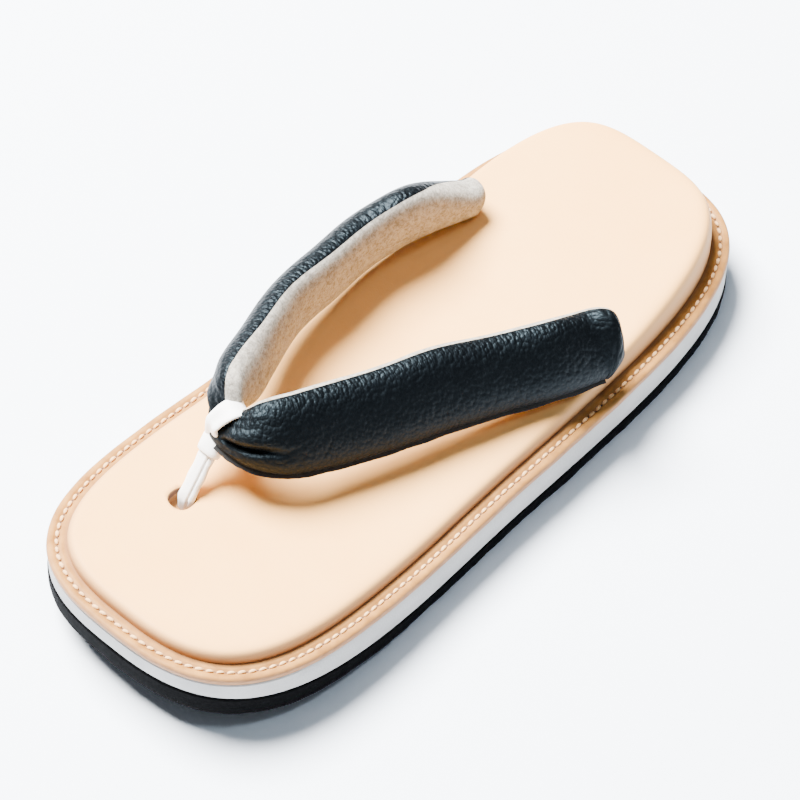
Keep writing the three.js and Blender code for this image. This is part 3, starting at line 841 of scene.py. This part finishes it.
def strap_surface(name, count, wall, is_cover):
    """One wall of the strap, as a closed shell between its two seams."""
    rings, uv = [], []
    taper_round = np.sin(np.linspace(0, np.pi, count)) ** 0.5
    for section, run, distance in zip(SECTIONS, STRAP_RUN, FROM_BEND):
        if is_cover:
            angles = np.linspace(section.seam, math.pi + SEAM_LAP, count)
            groove = pinch_folds(angles, distance)
        else:
            angles = np.linspace(math.pi + LINING_GAP, 2 * math.pi + section.seam - SEAM_LAP, count)
            groove = np.zeros(count)
        ring = section_ring(section, angles, 0.0, groove)
        inner = section_ring(section, angles, wall, groove * 0.8)
        from_end = min(run, STRAP_RUN[-1] - run) - END_FADE
        taper = taper_round * ease((from_end + 10) / 10)
        outward = ring - section.centre
        outward /= np.linalg.norm(outward, axis=1)[:, None]
        shift = bend_wrinkles(ring, from_end) if is_cover else LINING_UNEVENNESS * wander(ring, 15, 23)
        ring = ring + outward * (shift * taper)[:, None]
        rings.append(np.vstack([ring, inner[::-1]]))
        around = run_along(ring)
        around = around - around[-1] / 2
        uv.append(np.column_stack([np.full(count, run), around]))
        uv.append(np.column_stack([np.full(count, run), around[::-1] + BACK_UV]))
    size = 2 * count
    starts = ring_starts(rings)
    faces = [face[::-1] for face in walls(starts, size)]
    for start, turned in ((starts[0], False), (starts[-1], True)):
        for i in range(count - 1):
            face = (start + i, start + i + 1, start + size - 2 - i, start + size - 1 - i)
            faces.append(face[::-1] if turned else face)
    obj = new_object(name, np.vstack(rings), faces, BAND_ANGLE)
    add_uv(obj, np.vstack(uv))
    return obj


def seam_strip():
    """The raw edges of the leather, which stand a little proud along the lower seam."""
    rings = []
    for section, run in zip(SECTIONS, STRAP_RUN):
        from_end = min(run, STRAP_RUN[-1] - run) - EDGE_FROM_END
        if from_end < 0:
            continue
        base = section.centre - section.up * (section.width / 2 - EDGE_ROOT)
        uneven = 0.12 * wander(base[None, :], 3.1, 31)[0] + 0.2 * wander(base[None, :], 9, 37)[0]
        tall = (EDGE_HEIGHT + uneven) * ease(from_end / 3) + 0.05
        tip = base - section.up * tall + section.out * (EDGE_OUTWARD + 0.3 * uneven)
        rings.append(np.array([
            base + section.out * (EDGE_HALF + 0.3), tip + section.out * EDGE_HALF, tip - section.up * 0.15,
            tip - section.out * EDGE_HALF, base - section.out * (EDGE_HALF + 0.1),
        ]))
    starts, size = ring_starts(rings), len(rings[0])
    faces = walls(starts, size) + end_faces(starts, size)
    return new_object("strap_seam_edge", np.vstack(rings), faces, 60)


# Thong

THONG_Y = THONG_BACK * SOLE_LENGTH - HALF_LENGTH
THONG_MOUTH = np.array([THONG_SIDE * HALF_WAIST, THONG_Y, footbed_top(THONG_Y)])
NECK_OFFSET = np.array([NECK_SHIFT, NECK_SHIFT, 0.0])
STEM_FOOT = THONG_MOUTH + np.array([STEM_SHIFT, STEM_SHIFT, 0.0])
NECK = BEND_SECTION.centre - BEND_SECTION.up * (BEND_SECTION.width / 2 + NECK_DROP) + NECK_OFFSET
THONG_LEAN = unit(NECK - STEM_FOOT)
OVAL_POWER = 0.8

# The line between the stem's folded edges, across its front: place, half width, depth, step past it
FOLD_LINE = (1.4, 0.22, 0.8, 0.45)

LOOP_FIT = 0.1
LOOP_RIPPLE = 0.12
LEG_STEPS = 14           # from the loop's round part to the neck
STEM_STEPS = 14


def oval(centre, first, second, a, b, count=40):
    """A slightly squarish oval with half axes a and b."""
    angle = circle(count)
    x = a * signed_power(np.cos(angle), OVAL_POWER)
    y = b * signed_power(np.sin(angle), OVAL_POWER)
    return centre + np.outer(x, first) + np.outer(y, second)


def thong_axes(direction):
    across = unit(np.array([1.0, 0, 0]) - direction * direction[0])
    return across, np.cross(across, direction)


def stem_ring(centre, across, front, swell):
    """A strip folded lengthwise: its second edge lies beside the front face, past a narrow line."""
    angle = circle(72)
    x = THONG_WIDTH / 2 * swell * signed_power(np.cos(angle), 0.85)
    y = THONG_THICKNESS / 2 * signed_power(np.sin(angle), 0.7)
    place, half_width, depth, rise = FOLD_LINE
    line = depth * np.exp(-((x - place) / half_width) ** 2)
    step = rise * ease((x - place + 0.05) / 0.4)
    y = y - (line + step) * np.sign(y).clip(0, 1)
    return centre + np.outer(x, across) + np.outer(y, front)


def thong_stem():
    """The stem, upright in its hole and leaning above it; each station is a height and its turn."""
    rings = []
    length = np.linalg.norm(NECK - STEM_FOOT)
    stations = [(-THONG_DEPTH, 0.0), (-3.0, 0.0), (-1.2, 0.05), (0.6, 0.35), (2.6, 0.8)]
    stations += [(height, 1.0) for height in np.linspace(4.4, length + 0.4, STEM_STEPS)]
    for height, turn in stations:
        direction = unit(mix(UP, THONG_LEAN, turn))
        centre = STEM_FOOT + (UP if height < 0 else THONG_LEAN) * height
        across, front = thong_axes(direction)
        swell = 1.03 + 0.05 * math.sin(height * 0.9 + 1)
        rings.append(stem_ring(centre, across, front, swell))
    return slab("toe_thong_stem", rings, 4, 60)


def loop_path():
    """Middle line of the loop in the plane of the bend: round the strap, then straight to the neck."""
    reach = LOOP_THICKNESS / 2 + LOOP_FIT
    angles = np.radians(np.linspace(-LOOP_WRAP, LOOP_WRAP, 49))
    pad = np.where(angles >= 0, BEND_SECTION.pad_out, BEND_SECTION.pad_in) + reach
    p = (BEND_SECTION.width / 2 + reach) * signed_power(np.cos(angles), 2 / STRAP_SQUARENESS)
    q = pad * signed_power(np.sin(angles), 2 / STRAP_SQUARENESS)
    p_low = -(BEND_SECTION.width / 2 + NECK_DROP)
    q_low = (THONG_THICKNESS - LOOP_THICKNESS) / 2

    def leg(k, q_end):
        shares = [i / LEG_STEPS for i in range(1, LEG_STEPS + 1)]
        return [(mix(p[k], p_low, t), mix(q[k], q_end, ease(t) * 0.7 + t * 0.3), t) for t in shares]

    return leg(0, -q_low)[::-1] + [(a, b, 0.0) for a, b in zip(p, q)] + leg(-1, q_low)


def thong_loop():
    """The loop goes over the pinched strap, wide on top and narrow where it enters the collar."""
    path = loop_path()
    angle = circle(32)
    bend_across = np.cross(BEND_SECTION.up, BEND_SECTION.out)
    stem_across = thong_axes(THONG_LEAN)[0]
    mids, acrosses = [], []
    for p, q, share in path:
        mids.append(BEND_SECTION.centre + BEND_SECTION.up * p + BEND_SECTION.out * q + NECK_OFFSET * share)
        acrosses.append(unit(mix(bend_across, stem_across, share)))
    mids = np.array(mids)
    ahead = np.gradient(mids, axis=0)
    rings = []
    for i, (p, q, share) in enumerate(path):
        direction = unit(ahead[i])
        across = unit(acrosses[i] - direction * (acrosses[i] @ direction))
        radial = np.cross(direction, across)
        over = ease((p + 2) / (BEND_SECTION.width / 2 + 2))
        half = mix(mix(LOOP_WIDTH_SIDE, LOOP_WIDTH_LOW, share), LOOP_WIDTH_TOP, over) / 2
        x = half * signed_power(np.cos(angle), 0.6)
        y = LOOP_THICKNESS / 2 * signed_power(np.sin(angle), 0.8)
        y = y + LOOP_SADDLE * (1 - share) * (x / half) ** 2 + LOOP_RIPPLE * np.sin(x * 1.7 + 0.5 * i / 7)
        rings.append(mids[i] + np.outer(x, across) + np.outer(y, radial))
    return slab("toe_thong_loop", rings, 4, 60)


# The collar's outer face: share of its height, share of its wall
COLLAR_FACE = [(0.0, 0.0), (0.0, 0.6), (0.06, 0.9), (0.2, 1.03), (0.5, 1.06), (0.8, 1.03), (0.94, 0.9),
               (1.0, 0.6), (1.0, 0.0)]
COLLAR_ROUND = 48


def collar():
    """A narrow band round the stem and the loop's lower ends, a little askew."""
    across, front = thong_axes(THONG_LEAN)
    rings = []
    angle = circle(COLLAR_ROUND)
    skew = 0.35 * np.cos(angle) + 0.15 * np.sin(2 * angle)
    for share, wall in COLLAR_FACE:
        grow = FIT + 0.75 * COLLAR_WALL * wall
        ring = oval(NECK, across, front, THONG_WIDTH / 2 + grow, THONG_THICKNESS / 2 + grow, COLLAR_ROUND)
        drop = COLLAR_HEIGHT * (1 - share) - COLLAR_REACH * share + skew * (1.0 if share < 0.5 else 0.5)
        rings.append(ring - np.outer(drop, THONG_LEAN))
    return hoop("thong_collar_band", rings)


# Sole. Each row of a side is how far it stands in, and its share of the layer's height.

OUTSOLE_SIDE = ((0.7, 0.0), (0.3, 0.03), (0.1, 0.1), (0.0, 0.3), (0.0, 0.6), (0.0, 0.94), (0.35, 1.0))
MIDSOLE_SIDE = ((0.75, 0.0), (0.35, 0.06), (0.3, 0.5), (0.35, 0.94), (0.7, 1.0))
MIDSOLE_SINK = 0.25
CUT_WAVES = 0.22
CUT_MARKS = 0.1
WELT_WAVES = 0.12


def outsole_piece():
    """Flat rubber with a rounded lower edge, trimmed by hand, so its side waves a little."""
    rough = CUT_WAVES * wander(OUTLINE_FLAT, 13, 41)
    rough += CUT_MARKS * wander(OUTLINE_FLAT, 3.7, 43)
    rings = []
    for inset, share in OUTSOLE_SIDE:
        waves = rough * (0.4 + 0.6 * (1 - share))
        rings.append(ring_at(inset + waves, between(spring, outsole_top, share)))
    return slab("outsole_rubber", rings, 12)


def midsole_piece():
    """A foam wedge, its lowest ring sunk into the gap over the outsole."""
    rings = []
    for inset, share in MIDSOLE_SIDE:
        sink = MIDSOLE_SINK if share == 0 else 0
        rings.append(ring_at(inset, between(midsole_bottom, midsole_top, share, sink)))
    return slab("midsole_foam", rings, 2)


STITCH_INSET = 3.3
GROOVE_HALF = 0.95
WELT_SQUEEZE = 0.1

# Round the welt from its inner foot: how far in, share of its height, cut side, painted crease shade
WELT_FACE = [
    (WELT_WIDTH, 0.0, 0, 1), (WELT_WIDTH, 1.0, 0, 1), (WELT_WIDTH - 0.35, 1.0, 0, 0.9),
    (WELT_WIDTH - 1.3, 1.0, 0, 0.25), (STITCH_INSET + GROOVE_HALF + 0.5, 1.01, 0, 0),
    (STITCH_INSET + GROOVE_HALF, 0.98, 0, 0.1), (STITCH_INSET + 0.5, 0.86, 0, 0.35),
    (STITCH_INSET - 0.5, 0.86, 0, 0.35), (STITCH_INSET - GROOVE_HALF, 0.98, 0, 0.1),
    (STITCH_INSET - GROOVE_HALF - 0.5, 1.01, 0, 0), (1.1, 0.99, 0, 0), (0.45, 0.92, 0.35, 0),
    (0.1, 0.75, 0.9, 0), (0.0, 0.5, 1, 0), (0.08, 0.2, 1, 0.1), (0.45, 0.0, 1, 0.6),
]

# Up the footbed's side: how far in, in shoulders; share of its rise; burnishing and painted shade
FOOTBED_FACE = [
    (0.0, -0.2, 1.0), (0.0, 0.12, 1.0), (0.02, 0.35, 0.97),
    (0.06, 0.5, 0.93), (0.14, 0.66, 0.86), (0.27, 0.79, 0.76), (0.45, 0.885, 0.62), (0.68, 0.945, 0.46),
    (0.98, 0.98, 0.3), (1.35, 0.996, 0.17), (1.9, 1.0, 0.06), (2.8, 1.0, 0.0),
]
FOOTBED_GAP = 0.05

# Up a hole's side: height over its mouth, and how much wider it is there
HOLE_SIDE = ((-0.5, 0.0), (-0.1, 0.12), (0.35, 0.5), (4.0, 0.8))


def welt_piece():
    """A strip with rounded edges and a shallow groove for the stitches."""
    rings, cut, crease = [], [], []
    uneven = WELT_WAVES * wander(OUTLINE_FLAT, 17, 47)
    for inset, share, cut_value, crease_shade_value in WELT_FACE:
        outer = 1 - ease(inset / 2)
        rings.append(ring_at(inset + WELT_SQUEEZE + uneven * outer, between(welt_bottom, welt_top, share)))
        cut += [cut_value] * OUTLINE_POINTS
        crease += [crease_shade_value] * OUTLINE_POINTS
    obj = hoop("welt_strip", rings)
    add_value(obj, "cut", cut)
    add_value(obj, "crease", crease)
    return obj


def footbed_piece():
    """The moulded footbed: near-vertical side, a soft shoulder, and a top flat across."""
    rings, burnish_and_shade_values = [], []
    for inset, rise, tone in FOOTBED_FACE:
        rings.append(ring_at(WELT_WIDTH + FOOTBED_GAP + SHOULDER * inset,
                             lambda y: welt_top(y) + footbed_rise(y) * rise))
        burnish_and_shade_values += [tone] * OUTLINE_POINTS
    obj = slab("footbed_leather", rings)
    values = np.zeros(len(obj.data.vertices))
    values[:len(burnish_and_shade_values)] = burnish_and_shade_values
    add_value(obj, "edge", values)
    return obj


def cut_hole(obj, mouth, first, second, a, b, depth):
    """Cuts an oval hole with a slightly rounded rim."""
    side = ((-depth, 0.0), *HOLE_SIDE)
    rings = [oval(mouth + UP * height, first, second, a + grow, b + grow) for height, grow in side]
    cutter = slab("hole_cutter", rings, 2)
    modifier = obj.modifiers.new("hole", "BOOLEAN")
    modifier.operation = "DIFFERENCE"
    modifier.solver = "EXACT"
    modifier.object = cutter
    apply_modifiers(obj)
    bpy.data.objects.remove(cutter)


# Stitching

STITCH_PITCH = 3.25
STITCH_LENGTH = 2.55
STITCH_RADIUS = 0.58
STITCH_RINGS = 9
STITCH_ROUND = 8
STITCH_SINK = 0.32
STITCH_SKEW = 0.12
PINHOLE_SINK = 0.4
PINHOLE_ROUND = 8
LOOK_AHEAD = 0.5


def stitch_shape():
    """One stitch as a low round-ended grain, along X, with a slight dip at both ends."""
    rings = []
    angle = circle(STITCH_ROUND)
    for i in range(STITCH_RINGS):
        t = -1 + 2 * (i + 0.5) / STITCH_RINGS
        radius = STITCH_RADIUS * math.sqrt(1 - t * t * 0.92)
        along = np.full(STITCH_ROUND, t * STITCH_LENGTH / 2)
        height = 0.8 * radius * np.sin(angle) + 0.28 * (1 - t * t)
        rings.append(np.column_stack([along, radius * np.cos(angle), height]))
    starts = ring_starts(rings)
    return np.vstack(rings), walls(starts, STITCH_ROUND) + end_faces(starts, STITCH_ROUND)


def stitch_places():
    """The middle of each stitch round the welt, and a point a little ahead of it."""
    flat = OUTLINE - OUTLINE_NORMALS * STITCH_INSET
    closed = np.vstack([flat, flat[:1]])
    run = run_along(closed)
    count = int(round(run[-1] / STITCH_PITCH))
    wanted = (np.arange(count) + 0.5) * run[-1] / count
    return places_on(closed, run, wanted), places_on(closed, run, (wanted + LOOK_AHEAD) % run[-1])


def repeated(name, shape, places, ahead, sink, skew):
    """The shape at each place, sunk into the welt, with small differences in turn and size."""
    rng = np.random.default_rng(7)
    base, base_faces = shape
    vertices, faces = [], []
    for k, (place, forward) in enumerate(zip(places, ahead)):
        z = welt_top(place[1]) - sink
        slope = welt_top(forward[1]) - welt_top(place[1])
        x_axis = unit(np.array([forward[0] - place[0], forward[1] - place[1], slope]))
        turned = skew + rng.uniform(-0.05, 0.05)
        side = unit(np.cross(UP, x_axis))
        x_axis, side = (x_axis * math.cos(turned) + side * math.sin(turned),
                        side * math.cos(turned) - x_axis * math.sin(turned))
        top = np.cross(x_axis, side)
        scale = rng.uniform(0.93, 1.07)
        offset = k * len(base)
        vertices.append(np.array([place[0], place[1], z]) + base * scale @ np.array([x_axis, side, top]))
        faces += [tuple(v + offset for v in face) for face in base_faces]
    return new_object(name, np.vstack(vertices), faces, 60)


def stitches():
    places, ahead = stitch_places()
    return repeated("welt_stitches", stitch_shape(), places, ahead, STITCH_SINK, STITCH_SKEW)


def pinholes():
    """A small puncture between each two stitches, dark with painted shade."""
    places, ahead = stitch_places()
    middle = (places + np.roll(places, -1, 0)) / 2
    angle = circle(PINHOLE_ROUND)
    rings = [np.column_stack([a * np.cos(angle), b * np.sin(angle), np.full(PINHOLE_ROUND, depth)])
             for a, b, depth in ((0.42, 0.34, 0.0), (0.3, 0.24, -0.3))]
    starts = ring_starts(rings)
    faces = walls(starts, PINHOLE_ROUND) + end_faces(starts, PINHOLE_ROUND)
    pit = (np.vstack(rings), [face[::-1] for face in faces])
    return repeated("welt_pinholes", pit, middle, middle + (ahead - places), PINHOLE_SINK, 0.0)


# Build the pieces

def build_sandal():
    finish_piece(outsole_piece(), black_rubber(), "outsole", "outsole")
    finish_piece(midsole_piece(), foam(), "midsole", "midsole")
    finish_piece(welt_piece(), welt_leather(), "welt", "welt")
    finish_piece(stitches(), thread(), "welt")
    finish_piece(pinholes(), dark_pit(), "welt")

    footbed = footbed_piece()
    radius = THONG_HOLE / 2
    holes = [(tuple(THONG_MOUTH * MM), radius * MM)]
    cut_hole(footbed, THONG_MOUTH, np.array([1.0, 0, 0]), np.array([0, 1.0, 0]),
             radius, radius, THONG_DEPTH + FIT)
    for tail in (SECTIONS[0], SECTIONS[-1]):
        mouth = np.array([tail.centre[0], tail.centre[1], footbed_top(tail.centre[1])])
        across = np.array([tail.up[1], -tail.up[0], 0.0])
        thick, wide = TAIL_PAD + TAIL_CLEARANCE, TAIL_WIDTH / 2 + TAIL_CLEARANCE
        cut_hole(footbed, mouth, across, tail.up, thick, wide, TAIL_DEPTH + FIT)
        holes.append((tuple(mouth * MM), TAIL_WIDTH / 2 * MM))
    finish_piece(footbed, footbed_leather(holes), "footbed", "footbed")

    cover = strap_surface("strap_cover_leather", STRAP_ROUND, LEATHER, True)
    finish_piece(cover, black_leather(), "strap_cover", "strap_cover")
    lining = strap_surface("strap_lining_suede", LINING_ROUND, LINING, False)
    finish_piece(lining, suede(), "strap_lining", "strap_lining")
    finish_piece(seam_strip(), raw_edge(), "strap_cover")

    white = white_leather()
    finish_piece(thong_stem(), white, "toe_thong", "toe_thong")
    finish_piece(thong_loop(), white, "toe_thong")
    finish_piece(collar(), white, "thong_collar", "thong_collar")


# Stage, camera and light

PHOTO_SIZE = 800
PHOTO_FOCAL_PX = 2656.0
PHOTO_YAW = -0.760
PHOTO_PITCH = 0.875
PHOTO_ROLL = -0.003
CAMERA_PLACE = (503.5, -592.3, 1020.2)
AIM = (1.0, -4.0, 22.0)
ZOOM = 1.5
SENSOR = 36.0
FLOOR_HALF = 6.0
SKY = (0.86, 0.93, 1.0, 1.0)
SKY_STRENGTH = 0.2
LIT_POINT = (0.0, 0.0, 0.02)

# name, place in metres, size, power, colour
LIGHTS = [
    ("window", (-1.32, 0.02, 2.15), 1.5, 780.0, (1.0, 0.99, 0.97)),
    ("overhead", (0.5, 0.12, 2.2), 0.5, 12.0, (0.75, 0.88, 1.0)),
]


def add_floor():
    mesh = bpy.data.meshes.new("floor")
    corners = [(x * FLOOR_HALF, y * FLOOR_HALF, 0) for x, y in ((-1, -1), (1, -1), (1, 1), (-1, 1))]
    mesh.from_pydata(corners, [], [(0, 1, 2, 3)])
    floor = bpy.data.objects.new("floor", mesh)
    bpy.context.scene.collection.objects.link(floor)
    floor.data.materials.append(backdrop())


def photo_view():
    """The photo's camera directions: right, up and ahead."""
    level_share = math.cos(PHOTO_PITCH)
    ahead = Vector((math.sin(PHOTO_YAW) * level_share, math.cos(PHOTO_YAW) * level_share,
                    -math.sin(PHOTO_PITCH)))
    level = Vector((math.cos(PHOTO_YAW), -math.sin(PHOTO_YAW), 0))
    upward = level.cross(ahead)
    right = level * math.cos(PHOTO_ROLL) + upward * math.sin(PHOTO_ROLL)
    return right, right.cross(ahead), ahead


def add_camera():
    """The photo's camera, turned the shortest way to the one shoe, with a longer lens."""
    data = bpy.data.cameras.new("camera")
    data.sensor_width = SENSOR
    data.sensor_fit = "HORIZONTAL"
    data.lens = PHOTO_FOCAL_PX * SENSOR / PHOTO_SIZE * ZOOM
    camera = bpy.data.objects.new("camera", data)
    place = Vector(CAMERA_PLACE) * MM
    right, upward, ahead = photo_view()
    turn = ahead.rotation_difference(Vector(AIM) * MM - place).to_matrix()
    facing = turn @ Matrix((right, upward, -ahead)).transposed()
    camera.matrix_world = Matrix.Translation(place) @ facing.to_4x4()
    bpy.context.scene.collection.objects.link(camera)
    bpy.context.scene.camera = camera


def add_light(name, place, size, power, color):
    data = bpy.data.lights.new(name, "AREA")
    data.shape = "DISK"
    data.size = size
    data.energy = power
    data.color = color
    light = bpy.data.objects.new(name, data)
    facing = (Vector(LIT_POINT) - Vector(place)).to_track_quat("-Z", "Y")
    light.matrix_world = Matrix.Translation(Vector(place)) @ facing.to_matrix().to_4x4()
    bpy.context.scene.collection.objects.link(light)


def add_lights():
    world = bpy.data.worlds.new("studio")
    world.use_nodes = True
    sky = world.node_tree.nodes["Background"].inputs
    sky["Color"].default_value = SKY
    sky["Strength"].default_value = SKY_STRENGTH
    bpy.context.scene.world = world
    for light in LIGHTS:
        add_light(*light)


build_sandal()
add_floor()
add_camera()
add_lights()
